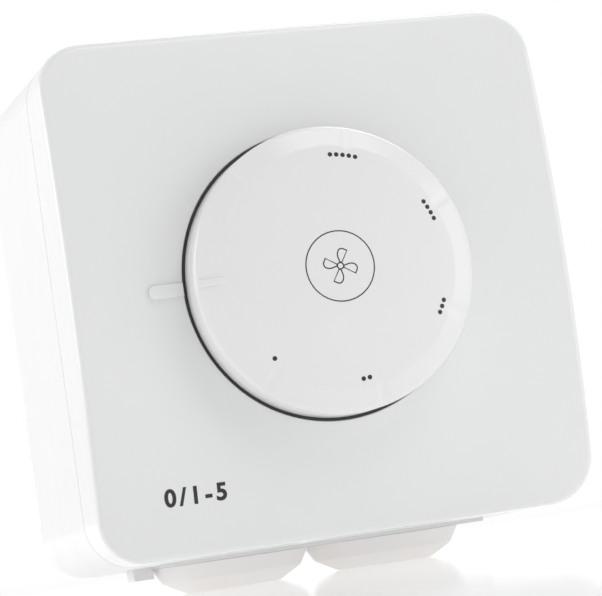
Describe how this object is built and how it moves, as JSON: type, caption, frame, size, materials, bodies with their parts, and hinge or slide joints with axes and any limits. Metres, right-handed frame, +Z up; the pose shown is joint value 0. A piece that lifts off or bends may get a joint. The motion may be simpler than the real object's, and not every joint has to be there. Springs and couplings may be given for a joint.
{
  "type": "rotary fan speed control switch",
  "caption": "Surface-mounted rotary fan speed switch: square wall box, arched cover, round knob with pointer ridge and cable membranes below.",
  "frame": {"origin": "centre of the box's back face, on the wall", "axes": "+Y into the wall, -Y out of the front, +Z up, +X to the right as seen from the front"},
  "size_m": [0.0848, 0.0605, 0.0896],
  "materials": {
    "cover_white": "satin moulded plastic",
    "knob_white": "satin moulded plastic",
    "box_white": "satin moulded plastic",
    "grommet_white": "soft matt rubber",
    "seal_black": "matt rubber",
    "housing_grey": "matt thermoset",
    "carrier_white": "matt nylon",
    "zinc_steel": "zinc plated",
    "brass": "bare"
  },
  "bodies": {
    "housing": {"front_cover": "cover_white", "surface_box": "box_white", "cover_gasket": "seal_black", "cable_grommet_left": "grommet_white", "cable_grommet_right": "grommet_white", "knob_seal": "seal_black", "shaft_o_ring": "seal_black", "threaded_bush": "brass", "bush_nut": "zinc_steel", "lock_washer": "zinc_steel", "cover_nut": "zinc_steel", "cover_nut_seal": "seal_black", "mounting_frame": "zinc_steel", "frame_screws": "zinc_steel", "switch_base": "housing_grey", "switch_lid": "housing_grey", "housing_screws": "zinc_steel", "detent_spring": "zinc_steel", "common_contact": "brass", "terminal_screws": "zinc_steel", "step_contact_1": "brass", "step_contact_2": "brass", "step_contact_3": "brass", "step_contact_4": "brass", "step_contact_5": "brass", "terminal_clamp_1": "brass", "terminal_clamp_2": "brass", "terminal_clamp_3": "brass", "terminal_clamp_4": "brass", "terminal_clamp_5": "brass", "terminal_clamp_6": "brass"},
    "knob_group": {"knob": "knob_white", "hub_clip": "zinc_steel", "shaft": "zinc_steel", "retaining_ring": "zinc_steel", "rotor": "carrier_white", "wiper": "brass"}
  },
  "joints": [
    {"name": "knob_turn", "type": "hinge", "parent": "housing", "child": "knob_group", "pos_m": [0, -0.05, 0], "axis": [0, 1, 0], "range_deg": [0, 257.14], "deforming": ["detent_spring"]}
  ]
}
